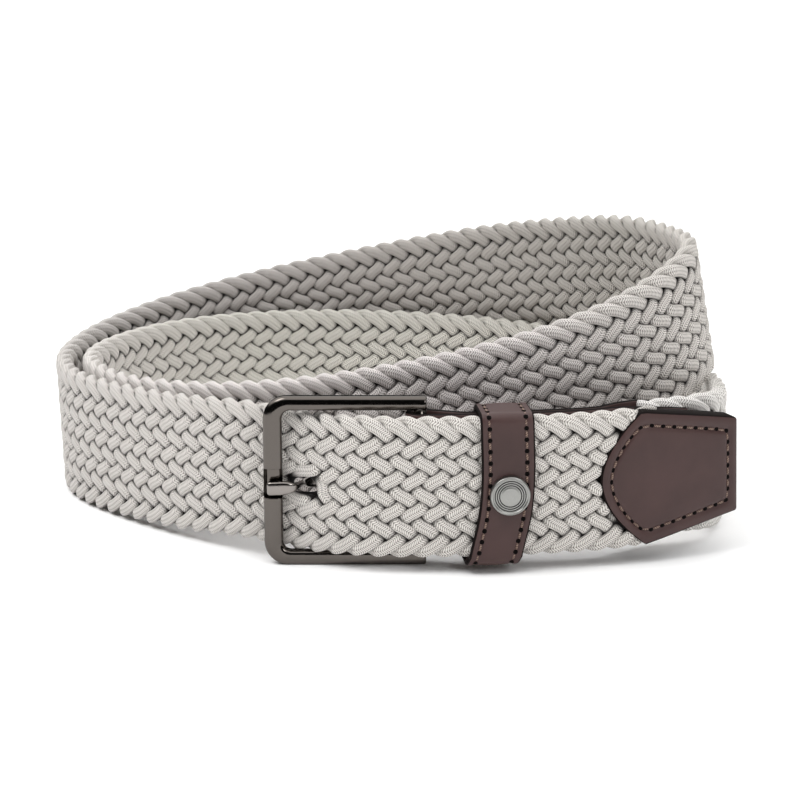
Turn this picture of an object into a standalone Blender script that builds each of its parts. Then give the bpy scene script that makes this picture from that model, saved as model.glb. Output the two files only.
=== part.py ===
import math

import bmesh
import bpy
import numpy as np

# Sizes in millimetres and degrees. X runs along the belt's front, Y away from the viewer, Z up.

# The strap, a flat elastic braid
STRAP_WIDTH = 34.4
STRAP_THICKNESS = 4.4

# The two turns, measured on the strap's middle line
COIL_WIDTH = 172.0
COIL_DEPTH = 140.0

# Gaps between pieces, and how finely the curves are cut
FIT_GAP = 0.3
SIDE_GAP = 0.4
RUN_GAP = 0.4
KEEPER_EASE = 0.7
HEEL_GAP = 0.4
MOUTH_EASE = 0.65
STATION_STEP = 6.5

# Buckle frame
FRAME_LENGTH = 39.6
FRAME_BAR = 3.4
FRAME_FRONT_BAR = 4.6
FRAME_DEPTH = 3.4
FRAME_CORNER = 5.7
HEEL_CORNER = 1.7
FRAME_BEVEL = 0.5
NOTCH_HEIGHT = 7.6
NOTCH_DEPTH = 2.5
HEEL_BAR_RADIUS = 1.6
HEEL_FROM_END = 79.6

# Prong, a strip curled round the heel bar
PRONG_HEIGHT = 3.6
PRONG_THICKNESS = 2.2
PRONG_CURL_THICKNESS = 1.1
PRONG_DROP = 1.2
PRONG_CHAMFER = 0.35
SLOT_LENGTH = 13.5
SLOT_FROM_HEEL = 26.0
SLOT_HEIGHT = 5.4

# Leather
PLY = 1.5
TAB_LENGTH = 68.0
TAB_LAP = 12.0
TAB_CLOSE = 11.0
TAB_SLOT_HEIGHT = 4.6
TAB_FOLD_EASE = 0.4
KEEPER_WALL = 1.3
KEEPER_WIDTH = 12.8
KEEPER_FROM_END = 59.2
KEEPER_CORNER = 2.2
TIP_LENGTH = 35.7
TIP_MOUTH = 10.7
TIP_THICKNESS = 4.8
TIP_WALL = 1.5
TIP_RIM = 2.4
TIP_POCKET = 20.0
TIP_END_WIDTH = 23.6

# Stud on the keeper
STUD_RADIUS = 5.0
STUD_THICKNESS = 1.5
STUD_SIDE = 1.1
STUD_DROP = 0.6

# The strap's route after the buckle tab, counter-clockwise from above: wide and deep as shares
# of the coil, lift of the lower edge as a share of the strap's width, ride as a share of what
# the frame's lower bar holds it up by, lean of the top outward in degrees.
ROUTE_COLUMNS = ("wide", "deep", "lift", "ride", "lean")
ROUTE = (
    (0.463, 0.239, 0.000, 0.25, 0.0),
    (0.473, 0.364, 0.000, 0.00, 0.0),
    (0.445, 0.500, 0.000, 0.00, 0.0),
    (0.380, 0.633, 0.000, 0.00, 0.0),
    (0.272, 0.764, 0.000, 0.00, 0.5),
    (0.133, 0.861, 0.000, 0.00, 1.0),
    (-0.034, 0.918, 0.000, 0.00, 1.5),
    (-0.208, 0.914, 0.000, 0.00, 2.0),
    (-0.355, 0.839, 0.000, 0.00, 2.0),
    (-0.451, 0.704, 0.000, 0.00, 1.5),
    (-0.482, 0.546, 0.000, 0.00, 1.5),
    (-0.428, 0.407, 0.000, 0.00, 2.0),
    (-0.317, 0.306, 0.032, 0.00, 2.6),
    (-0.165, 0.238, 0.122, 0.00, 2.8),
    (0.007, 0.204, 0.282, 0.00, 2.6),
    (0.181, 0.201, 0.490, 0.00, 1.4),
    (0.340, 0.241, 0.760, 0.00, -2.3),
    (0.412, 0.305, 0.930, 0.00, -6.2),
    (0.445, 0.379, 1.025, 0.00, -9.5),
    (0.433, 0.512, 1.045, 0.00, -11.5),
    (0.382, 0.643, 1.025, 0.00, -10.6),
    (0.299, 0.771, 0.925, 0.00, -8.1),
    (0.181, 0.885, 0.780, 0.00, -4.6),
    (0.020, 0.965, 0.581, 0.00, -0.8),
    (-0.165, 0.980, 0.375, 0.00, 2.6),
    (-0.341, 0.913, 0.198, 0.00, 4.6),
    (-0.472, 0.770, 0.064, 0.00, 4.8),
    (-0.521, 0.593, 0.006, 0.00, 3.5),
    (-0.497, 0.425, 0.000, 0.00, 0.5),
    (-0.418, 0.300, 0.000, 0.15, -1.6),
)

# The front run through the buckle, as shares of the distance from heel bar to strap end: how far
# before the end, and how far back. Ride and lean are as in the route.
RUN_END = 0.474
FRONT_COLUMNS = ("before", "back", "ride", "lean")
FRONT = (
    (1.704, 0.3236, 0.50, -2.2),
    (1.502, 0.1830, 0.90, -1.6),
    (1.308, 0.0703, 1.00, -0.8),
    (1.125, -0.0106, 1.00, -0.3),
    (0.946, -0.0246, 1.00, 0.0),
    (0.771, -0.0159, 1.00, 0.0),
    (0.571, 0.0088, 1.00, 0.0),
    (0.325, 0.0598, 1.00, 0.0),
    (0.138, 0.1319, 1.00, 0.0),
    (0.000, 0.1970, 1.00, 0.0),
)

# The strap's section: height as a share of half the width, half thickness as a share of half
SECTION_COLUMNS = ("height", "half")
SECTION = (
    (1.000, 0.25),
    (0.974, 0.62),
    (0.918, 0.89),
    (0.837, 1.00),
)

# The prong's middle line after its curl: along as a share of its length from the heel bar to
# its tip, back as a share of the frame's depth behind the frame's middle plane
PRONG_COLUMNS = ("along", "back")
PRONG_LINE = (
    (0.10, 0.46),
    (0.22, 0.30),
    (0.36, 0.20),
    (0.50, 0.30),
    (0.60, 0.20),
    (0.70, -0.10),
    (0.80, -0.28),
    (0.90, -0.30),
    (1.00, -0.30),
)

# The keeper's loop: how far its band is pushed along the belt, as a share of its width, at
# shares of the strap's width up from the strap's lower edge
KEEPER_COLUMNS = ("up", "push")
KEEPER_PUSH = (
    (-0.06, -0.20),
    (0.06, -0.09),
    (0.35, 0.01),
    (0.65, 0.03),
    (1.05, -0.02),
)

# The stud, turned: radius and thickness as shares of its own
STUD_COLUMNS = ("out", "rise")
STUD_PROFILE = (
    (0.00, 0.80),
    (0.48, 0.80),
    (0.52, 0.72),
    (0.78, 0.72),
    (0.84, 0.96),
    (0.93, 1.00),
    (1.00, 0.80),
    (1.00, 0.00),
)


# Each piece's colour (linear red, green, blue), roughness and metallic value
LOOKS = {
    "braided_strap": (0.62, 0.59, 0.55, 0.8, 0.0),
    "buckle_frame": (0.16, 0.155, 0.15, 0.28, 1.0),
    "prong": (0.16, 0.155, 0.15, 0.28, 1.0),
    "buckle_tab": (0.10, 0.068, 0.058, 0.55, 0.0),
    "keeper": (0.10, 0.068, 0.058, 0.55, 0.0),
    "keeper_stud": (0.50, 0.50, 0.48, 0.35, 1.0),
    "tip_leather": (0.10, 0.068, 0.058, 0.55, 0.0),
}


def table(columns, rows):
    values = np.array(rows, dtype=float)
    return {name: values[:, index] for index, name in enumerate(columns)}


def unit(vectors):
    return vectors / np.linalg.norm(vectors, axis=-1, keepdims=True)


def spline(knots, values, at):
    """Natural cubic spline through rows of values."""
    count = len(knots)
    step = np.diff(knots)
    matrix = np.eye(count)
    right = np.zeros((count, values.shape[1]))
    slope = np.diff(values, axis=0) / step[:, None]
    for row in range(1, count - 1):
        matrix[row, row - 1:row + 2] = (step[row - 1], 2 * (step[row - 1] + step[row]), step[row])
        right[row] = 3 * (slope[row] - slope[row - 1])
    second = np.linalg.solve(matrix, right)
    first = slope - step[:, None] * (2 * second[:-1] + second[1:]) / 3
    third = np.diff(second, axis=0) / (3 * step[:, None])
    cell = np.clip(np.searchsorted(knots, at, side="right") - 1, 0, count - 2)
    x = (at - knots[cell])[:, None]
    return values[cell] + first[cell] * x + second[cell] * x ** 2 + third[cell] * x ** 3


class Path:
    """A line in space with a lean, read by its own length in millimetres."""

    def __init__(self, rows):
        chord = np.linalg.norm(np.diff(rows[:, :3], axis=0), axis=1)
        knots = np.concatenate(([0.0], np.cumsum(chord)))
        fine = spline(knots, rows, np.linspace(0.0, knots[-1], 3000))
        fine[:, 2] = np.maximum(fine[:, 2], 0.5 * STRAP_WIDTH)
        run = np.linalg.norm(np.diff(fine[:, :3], axis=0), axis=1)
        self.lengths = np.concatenate(([0.0], np.cumsum(run)))
        self.length = self.lengths[-1]
        self.fine = fine
        self.tangents = unit(np.gradient(fine[:, :3], axis=0))

    def read(self, values, at):
        columns = [np.interp(at, self.lengths, values[:, c]) for c in range(values.shape[1])]
        return np.stack(columns, axis=-1)

    def frames(self, at):
        """Middle points with the directions along, up and outward at these lengths."""
        at = np.asarray(at, dtype=float)
        rows = self.read(self.fine, np.clip(at, 0.0, self.length))
        along = unit(self.read(self.tangents, np.clip(at, 0.0, self.length)))
        flat = unit(along * np.array((1.0, 1.0, 0.0)))
        side = np.stack((flat[..., 1], -flat[..., 0], 0 * flat[..., 0]), axis=-1)
        lean = np.radians(rows[..., 3:4])
        up = np.array((0.0, 0.0, 1.0)) * np.cos(lean) + side * np.sin(lean)
        up = unit(up - np.sum(up * along, axis=-1, keepdims=True) * along)
        over = at - np.clip(at, 0.0, self.length)
        return rows[..., :3] + along * over[..., None], along, up, np.cross(along, up)


def solid(name, points, faces):
    """A closed mesh in metres, its object's origin in the middle of its points."""
    points = 0.001 * np.asarray(points, dtype=float)
    middle = 0.5 * (points.min(axis=0) + points.max(axis=0))
    mesh = bpy.data.meshes.new(name)
    mesh.from_pydata((points - middle).tolist(), [], faces)
    work = bmesh.new()
    work.from_mesh(mesh)
    bmesh.ops.recalc_face_normals(work, faces=work.faces)
    work.to_mesh(mesh)
    work.free()
    mesh.shade_smooth()
    mesh.set_sharp_from_angle(angle=math.radians(32.0))
    mesh.materials.append(material(name))
    shown = bpy.data.objects.new(name, mesh)
    shown.location = middle
    bpy.context.scene.collection.objects.link(shown)
    return shown


def material(name):
    red, green, blue, roughness, metallic = LOOKS[name]
    look = bpy.data.materials.new(name)
    look.use_nodes = True
    shader = look.node_tree.nodes["Principled BSDF"]
    shader.inputs["Base Color"].default_value = (red, green, blue, 1.0)
    shader.inputs["Roughness"].default_value = roughness
    shader.inputs["Metallic"].default_value = metallic
    return look


def loft(name, rings, closed=False, slot=None):
    """Skin equal rings. A slot (first, last, cell) is cut through both broad faces."""
    rings = np.asarray(rings, dtype=float)
    count, size = rings.shape[:2]
    faces = []
    for i in range(count if closed else count - 1):
        low, high = i * size, ((i + 1) % count) * size
        for j in range(size):
            if slot and slot[0] <= i < slot[1] and j in (slot[2], size - 2 - slot[2]):
                continue
            k = (j + 1) % size
            faces.append((low + j, low + k, high + k, high + j))
    half = size // 2
    if not closed:
        for base in (0, (count - 1) * size):
            for j in range(half - 1):
                faces.append((base + j, base + j + 1, base + size - 2 - j, base + size - 1 - j))
    if slot:
        first, last, cell = slot
        for base in (first * size, last * size):
            faces.append((base + cell, base + cell + 1,
                          base + size - 2 - cell, base + size - 1 - cell))
        for i in range(first, last):
            for line in (cell, cell + 1):
                low, high = i * size, (i + 1) * size
                faces.append((low + line, high + line,
                              high + size - 1 - line, low + size - 1 - line))
    return solid(name, rings.reshape(-1, 3), faces)


def section_ring(path, at, heights, halves):
    """One ring of a ribbon: its front line from bottom to top, then its back line down."""
    middle, along, up, out = path.frames(at)
    front = middle + up * heights[:, None] + out * halves[:, None]
    back = middle + up * heights[:, None] - out * halves[:, None]
    return np.concatenate((front, back[::-1]))


def half_height_at_tip(from_end):
    """Half the leather tip's height at a distance from its end."""
    straight = TIP_LENGTH - TIP_MOUTH
    share = np.clip(from_end / straight, 0.0, 1.0)
    return 0.5 * (TIP_END_WIDTH + (STRAP_WIDTH - TIP_END_WIDTH) * share)


def tip_mouth(share):
    """How far the mouth falls back from its apex at a share of the half width."""
    return TIP_MOUTH * np.abs(share) ** 1.9


def ride_height():
    return FRAME_BAR + SIDE_GAP


def route_rows():
    route = table(ROUTE_COLUMNS, ROUTE)
    front = table(FRONT_COLUMNS, FRONT)
    wide = np.concatenate((route["wide"] * COIL_WIDTH,
                           RUN_END * COIL_WIDTH - front["before"] * HEEL_FROM_END))
    deep = np.concatenate((route["deep"] * COIL_DEPTH, front["back"] * HEEL_FROM_END))
    lift = np.concatenate((route["lift"] * STRAP_WIDTH, 0.0 * front["ride"]))
    ride = np.concatenate((route["ride"], front["ride"])) * ride_height()
    lean = np.concatenate((route["lean"], front["lean"]))
    return np.stack((wide, deep, lift + ride + 0.5 * STRAP_WIDTH, lean), axis=1)


def tab_opening(along):
    """Half the distance between the tab's two plies, at a distance from the heel bar."""
    at_bar = HEEL_BAR_RADIUS + HEEL_GAP + 0.5 * PLY
    closed = 0.5 * (PLY + FIT_GAP)
    at_lap = 0.5 * STRAP_THICKNESS + FIT_GAP + 0.5 * PLY
    lap_start = TAB_LENGTH - TAB_LAP
    knots = (0.0, TAB_CLOSE, lap_start - TAB_CLOSE, lap_start - FIT_GAP)
    return np.interp(along, knots, (at_bar, closed, closed, at_lap))


def behind_front_run():
    """From the front run's middle to the middle of the tab's front ply."""
    return 0.5 * max(STRAP_THICKNESS, TIP_THICKNESS) + RUN_GAP + 0.5 * PLY


def tab_frames(front_run, along, side):
    """A ply's middle points: side 1 for the front ply, -1 for the back one."""
    middle, ahead, up, out = front_run.frames(front_run.length - HEEL_FROM_END + along)
    shift = behind_front_run() + tab_opening(along) * (1 - side)
    return middle - out * shift[..., None], ahead, up, out


def strap_path():
    rows = route_rows()
    front_run = Path(rows)
    along = TAB_LENGTH - TAB_LAP * np.array((1.0, 0.67, 0.33, 0.0, -0.2))
    middle, ahead, up, out = front_run.frames(front_run.length - HEEL_FROM_END + along)
    shift = behind_front_run() + tab_opening(along)
    start = np.concatenate((middle - out * shift[:, None], 0.0 * middle[:, :1]), axis=1)
    return Path(np.concatenate((start, rows)))


def heel_point(path):
    middle = path.frames(path.length - HEEL_FROM_END)[0]
    back = behind_front_run() + 0.5 * PLY + HEEL_GAP + HEEL_BAR_RADIUS
    height = 0.5 * STRAP_WIDTH + SIDE_GAP + FRAME_BAR
    return np.array((middle[0], middle[1] + back, height))


def section_lines(slot_height):
    section = table(SECTION_COLUMNS, SECTION)
    upper = section["height"] * 0.5 * STRAP_WIDTH
    thick = section["half"] * 0.5 * STRAP_THICKNESS
    slot = 0.5 * slot_height
    mid = 0.25 * STRAP_WIDTH
    heights = np.concatenate((-upper, (-mid, -slot, slot, mid), upper[::-1]))
    halves = np.concatenate((thick, np.full(4, thick[-1]), thick[::-1]))
    return heights, halves


def build_strap(path):
    heights, halves = section_lines(SLOT_HEIGHT)
    heights = heights - np.where(np.abs(heights) < 0.6 * SLOT_HEIGHT, 0.5 * PRONG_DROP, 0.0)
    apex = path.length - TIP_LENGTH
    slot_middle = path.length - HEEL_FROM_END - SLOT_FROM_HEEL
    slot_start, slot_end = slot_middle - 0.5 * SLOT_LENGTH, slot_middle + 0.5 * SLOT_LENGTH
    last = apex - 0.3 * TIP_LENGTH
    stops = (0.0, slot_start, slot_end, last)
    stations = [0.0]
    for start, end in zip(stops[:-1], stops[1:]):
        pieces = max(2, round((end - start) / STATION_STEP))
        stations.extend(start + (end - start) * (i + 1) / pieces for i in range(pieces))
    rings = [section_ring(path, np.full(len(heights), at), heights, halves) for at in stations]
    mouth = apex + tip_mouth(heights / (0.5 * STRAP_WIDTH)) - FIT_GAP - MOUTH_EASE
    for share in (0.4, 0.75, 1.0):
        rings.append(section_ring(path, last + (mouth - last) * share, heights, halves))
    core = 0.5 * TIP_THICKNESS - TIP_WALL - FIT_GAP
    core_end = apex + TIP_POCKET - FIT_GAP
    for share in (0.0, 0.33, 0.67, 1.0):
        at = mouth + (core_end - mouth) * share
        room = half_height_at_tip(path.length - at) - TIP_RIM - FIT_GAP
        rings.append(section_ring(path, at, heights / (0.5 * STRAP_WIDTH) * room,
                                  np.full(len(heights), core)))
    first = int(np.argmin(np.abs(np.array(stations) - slot_start)))
    until = int(np.argmin(np.abs(np.array(stations) - slot_end)))
    return loft("braided_strap", rings, slot=(first, until, len(SECTION) + 1))


def corner_arc(centre, radius, start, end, pieces=7):
    angles = np.radians(np.linspace(start, end, pieces))
    return [(centre[0] + radius * math.cos(a), centre[1] + radius * math.sin(a)) for a in angles]


def frame_left(heel):
    return heel[0] + HEEL_BAR_RADIUS - FRAME_LENGTH


def build_frame(heel):
    """The frame's bar swept round its middle line, thinner and round at the heel."""
    left = frame_left(heel) + 0.5 * FRAME_FRONT_BAR
    top = 0.5 * STRAP_WIDTH + SIDE_GAP + 0.5 * FRAME_BAR
    big, small = FRAME_CORNER, HEEL_CORNER
    notch = 0.5 * NOTCH_HEIGHT
    bar = HEEL_BAR_RADIUS * math.cos(math.pi / 8)
    rows = []
    for x, z in corner_arc((left + big, top - big), big, 90.0, 180.0):
        rows.append((x, z, (x - left) / big, 0.0, 0.0))
    for share in (1.0, 0.93, 0.72, 0.38, 0.0, -0.38, -0.72, -0.93, -1.0):
        rows.append((left, notch * share - 0.5 * PRONG_DROP, 0.0, 0.0, math.sqrt(1.0 - share ** 4)))
    for x, z in corner_arc((left + big, big - top), big, 180.0, 270.0):
        rows.append((x, z, (x - left) / big, 0.0, 0.0))
    for x, z in corner_arc((heel[0] - small, small - top), small, -90.0, 0.0, 5):
        rows.append((x, z, 1.0, (x - heel[0] + small) / small, 0.0))
    for x, z in corner_arc((heel[0] - small, top - small), small, 0.0, 90.0, 5):
        rows.append((x, z, 1.0, (x - heel[0] + small) / small, 0.0))
    rows = np.array(rows)
    ahead = unit(np.roll(rows[:, :2], -1, axis=0) - np.roll(rows[:, :2], 1, axis=0))
    outward = np.stack((-ahead[:, 1], ahead[:, 0]), axis=1) * -1.0
    outward *= np.sign(np.sum(outward * (rows[:, :2] - (0.5 * (left + heel[0]), 0.0)), axis=1))[:, None]
    rings = []
    for (x, z, arm, round_share, dip), side in zip(rows, outward):
        wide = 0.5 * (FRAME_FRONT_BAR + (FRAME_BAR - FRAME_FRONT_BAR) * arm)
        wide = wide + (bar - wide) * round_share
        deep = 0.5 * FRAME_DEPTH + (bar - 0.5 * FRAME_DEPTH) * round_share
        cut = FRAME_BEVEL + (bar * 0.586 - FRAME_BEVEL) * round_share
        front = -deep + NOTCH_DEPTH * dip
        outline = ((wide, deep - cut), (wide - cut, deep), (cut - wide, deep), (-wide, deep - cut),
                   (-wide, front + cut), (cut - wide, front), (wide - cut, front),
                   (wide, front + cut))
        rings.append([(x + side[0] * w, heel[1] + d, heel[2] + z + side[1] * w)
                      for w, d in outline])
    return loft("buckle_frame", rings, closed=True)


def build_prong(heel):
    """A strip curled round the heel bar that runs on to the notch."""
    curl = HEEL_BAR_RADIUS + FIT_GAP + 0.5 * PRONG_CURL_THICKNESS
    line = table(PRONG_COLUMNS, PRONG_LINE)
    reach = heel[0] - frame_left(heel) - 0.15 * FRAME_FRONT_BAR
    rows = []
    for angle in np.linspace(-135.0, 95.0, 14):
        a = math.radians(angle)
        rows.append((heel[0] + curl * math.cos(a), heel[1] + curl * math.sin(a), 0.0, 0.0))
    for along, back in zip(line["along"], line["back"]):
        rows.append((heel[0] - reach * along, heel[1] + FRAME_DEPTH * back, along,
                     min(1.0, along / 0.3)))
    rows = np.array(rows)
    knots = np.concatenate(([0.0], np.cumsum(np.linalg.norm(np.diff(rows[:, :2], axis=0), axis=1))))
    fine = spline(knots, rows, np.linspace(0.0, knots[-1], 44))
    ahead = unit(np.gradient(fine[:, :2], axis=0))
    rings = []
    for (x, y, along, thick), (ax, ay) in zip(fine, ahead):
        thick = min(1.0, max(0.0, thick))
        half = 0.5 * (PRONG_CURL_THICKNESS + (PRONG_THICKNESS - PRONG_CURL_THICKNESS) * thick)
        tall = 0.5 * PRONG_HEIGHT * (1.0 - 0.3 * max(0.0, along - 0.93) / 0.07)
        cut = min(PRONG_CHAMFER, 0.5 * half)
        z = heel[2] - PRONG_DROP * max(0.0, along)
        outline = ((half - cut, -tall), (half, cut - tall), (half, tall - cut), (half - cut, tall),
                   (cut - half, tall), (-half, tall - cut), (-half, cut - tall),
                   (cut - half, -tall))
        rings.append([(x + ay * d, y - ax * d, z + h) for d, h in outline])
    return loft("prong", rings)


def build_tab(path, heel):
    """One leather strip, folded round the heel bar, with a slot in the fold for the prong."""
    front_run = path
    tall = 0.5 * STRAP_WIDTH
    slot = 0.5 * TAB_SLOT_HEIGHT
    halves = np.full(4, 0.5 * PLY)
    stops = np.concatenate((np.linspace(TAB_LENGTH, TAB_LENGTH - TAB_LAP, 4),
                            np.linspace(TAB_LENGTH - TAB_LAP - TAB_CLOSE, TAB_CLOSE, 7),
                            (0.66 * TAB_CLOSE, 0.33 * TAB_CLOSE)))
    rings = []

    def ring(point, up, out, along):
        edge = tall - TAB_FOLD_EASE * max(0.0, 1.0 - along / TAB_CLOSE)
        heights = np.array((-edge, -slot, slot, edge))
        front = point + up * heights[:, None] + out * halves[:, None]
        back = point + up * heights[:, None] - out * halves[:, None]
        rings.append(np.concatenate((front, back[::-1])))

    for along in stops:
        point, ahead, up, out = tab_frames(front_run, np.array(along), 1)
        ring(point, up, out, along)
    before = len(rings) - 2
    base = front_run.frames(front_run.length - HEEL_FROM_END)
    radius = HEEL_BAR_RADIUS + HEEL_GAP + 0.5 * PLY
    for angle in np.linspace(0.0, 180.0, 9):
        a = math.radians(angle)
        out = base[3] * math.cos(a) - base[1] * math.sin(a)
        ring(heel + (0.0, 0.0, base[0][2] - heel[2]) + out * radius, base[2], out, 0.0)
    after = len(rings) + 1
    for along in stops[::-1]:
        point, ahead, up, out = tab_frames(front_run, np.array(along), -1)
        ring(point, up, -out, along)
    return loft("buckle_tab", rings, slot=(before, after, 1))


def keeper_frame(path):
    return path.frames(path.length - KEEPER_FROM_END)


def build_keeper(path):
    """A closed band round the front run and the tab behind it."""
    middle, along, up, out = keeper_frame(path)
    push = table(KEEPER_COLUMNS, KEEPER_PUSH)
    front = 0.5 * STRAP_THICKNESS + FIT_GAP
    back = -(behind_front_run() + 0.5 * PLY + FIT_GAP + PLY + FIT_GAP + KEEPER_EASE)
    tall = 0.5 * STRAP_WIDTH + FIT_GAP
    outline = []
    corners = ((front, tall, 0.0), (back, tall, 90.0), (back, -tall, 180.0), (front, -tall, 270.0))
    for d, h, start in corners:
        for step in range(5):
            a = math.radians(start + 22.5 * step)
            outline.append((d, h, math.cos(a), math.sin(a)))
        if start in (90.0, 270.0):
            for share in (0.25, 0.5, 0.75):
                outline.append((d, h * (1 - 2 * share), math.cos(math.radians(start + 90.0)),
                                math.sin(math.radians(start + 90.0))))
    rings = []
    inner = KEEPER_CORNER - KEEPER_WALL
    for d, h, c, s in outline:
        inset_d = d - math.copysign(inner, d)
        inset_h = h - math.copysign(inner, h) if abs(abs(h) - tall) < 1e-6 else h
        flat = 0.0 if abs(abs(h) - tall) < 1e-6 else 1.0
        shift = np.interp(0.5 + h / STRAP_WIDTH, push["up"], push["push"]) * KEEPER_WIDTH
        ring = []
        for radius, side in ((KEEPER_CORNER, -1), (KEEPER_CORNER, 1), (inner, 1), (inner, -1)):
            dd = inset_d + radius * c
            hh = inset_h + radius * s * (1.0 - flat)
            ring.append(middle + out * dd + up * hh + along * (shift + side * 0.5 * KEEPER_WIDTH))
        rings.append(ring)
    return loft("keeper", rings, closed=True)


def build_stud(path):
    middle, along, up, out = keeper_frame(path)
    profile = table(STUD_COLUMNS, STUD_PROFILE)
    base = middle + out * (0.5 * STRAP_THICKNESS + 2 * FIT_GAP + KEEPER_WALL)
    base = base + along * STUD_SIDE - up * STUD_DROP
    sides = 24
    points = [base, base + out * STUD_THICKNESS * profile["rise"][0]]
    faces = []
    turned = list(zip(profile["out"][1:], profile["rise"][1:]))
    for r, t in turned:
        for k in range(sides):
            a = 2 * math.pi * k / sides
            points.append(base + out * STUD_THICKNESS * t
                          + STUD_RADIUS * r * (along * math.cos(a) + up * math.sin(a)))
    for k in range(sides):
        n = (k + 1) % sides
        faces.append((1, 2 + k, 2 + n))
        for row in range(len(turned) - 1):
            low, high = 2 + row * sides, 2 + (row + 1) * sides
            faces.append((low + k, high + k, high + n, low + n))
        final = 2 + (len(turned) - 1) * sides
        faces.append((0, final + n, final + k))
    return solid("keeper_stud", points, faces)


def build_tip(path):
    """A leather cup on the strap's free end, open along a curved mouth."""
    apex = path.length - TIP_LENGTH
    shares = np.array((-1.0, -0.96, -0.75, -0.5, -0.25, 0.0, 0.25, 0.5, 0.75, 0.96, 1.0))
    outer_half = np.full(len(shares), 0.5 * TIP_THICKNESS)
    outer_half[[0, -1]] = 0.36 * TIP_THICKNESS
    inner_half = np.full(len(shares), 0.5 * TIP_THICKNESS - TIP_WALL)
    mouth = apex + tip_mouth(shares)
    rings = []

    def add(share, end, rim, halves):
        at = mouth + (end - mouth) * share
        room = half_height_at_tip(path.length - at) - rim
        rings.append(section_ring(path, at, shares * room, halves))

    pocket_end = apex + TIP_POCKET
    for share in (1.0, 0.67, 0.33, 0.0):
        add(share, pocket_end, TIP_RIM, inner_half)
    for share in (0.0, 0.2, 0.4, 0.6, 0.8, 0.97):
        add(share, path.length, 0.0, outer_half)
    add(1.0, path.length, 0.25 * TIP_WALL, outer_half * 0.8)
    return loft("tip_leather", rings)


def hold_together(pieces):
    """Parent the pieces to one empty, set so that the belt stands over the origin."""
    corners = np.concatenate([np.array([vertex.co[:] for vertex in piece.data.vertices])
                              + np.array(piece.location) for piece in pieces])
    low, high = corners.min(axis=0), corners.max(axis=0)
    belt = bpy.data.objects.new("elastic_belt", None)
    belt.location = (-0.5 * (low[0] + high[0]), -0.5 * (low[1] + high[1]), -low[2])
    bpy.context.scene.collection.objects.link(belt)
    for piece in pieces:
        piece.parent = belt


def main():
    for item in list(bpy.data.objects):
        bpy.data.objects.remove(item)
    path = strap_path()
    heel = heel_point(path)
    pieces = [build_strap(path), build_frame(heel), build_prong(heel), build_tab(path, heel),
              build_keeper(path), build_stud(path), build_tip(path)]
    hold_together(pieces)


main()
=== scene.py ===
import math

import bpy
import mathutils
import numpy as np
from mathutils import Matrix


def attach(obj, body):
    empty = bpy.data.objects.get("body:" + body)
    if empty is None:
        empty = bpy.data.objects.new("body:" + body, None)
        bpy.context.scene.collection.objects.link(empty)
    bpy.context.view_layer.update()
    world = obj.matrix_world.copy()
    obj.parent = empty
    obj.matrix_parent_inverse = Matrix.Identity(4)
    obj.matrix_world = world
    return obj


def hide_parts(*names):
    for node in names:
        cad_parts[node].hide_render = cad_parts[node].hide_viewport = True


# An elastic braided belt with leather ends, fastened and wound into two standing turns.
# Everything is worked out in millimetres on the belt's own route, and makePiece writes metres.

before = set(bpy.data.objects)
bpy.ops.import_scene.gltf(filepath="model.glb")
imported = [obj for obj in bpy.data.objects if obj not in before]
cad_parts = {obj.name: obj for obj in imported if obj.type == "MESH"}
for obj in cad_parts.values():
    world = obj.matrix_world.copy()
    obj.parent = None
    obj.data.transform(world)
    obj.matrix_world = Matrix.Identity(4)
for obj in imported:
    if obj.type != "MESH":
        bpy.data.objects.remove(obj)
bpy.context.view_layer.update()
print("frame loaded:", ", ".join(sorted(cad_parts)))

belt = {
    "width": 34.4,
    "thickness": 4.4,
    "coilWidth": 172.0,
    "coilDepth": 140.0,
    "fitGap": 0.3,
    "runGap": 0.4,
    "sideGap": 0.4,
    "heelFromEnd": 79.6,
    "frameBar": 3.4,
    "runEnd": 0.474,
    "place": (4.5235, -66.7975, 0.0088),  # sets the route over the middle of the floor
}

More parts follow.
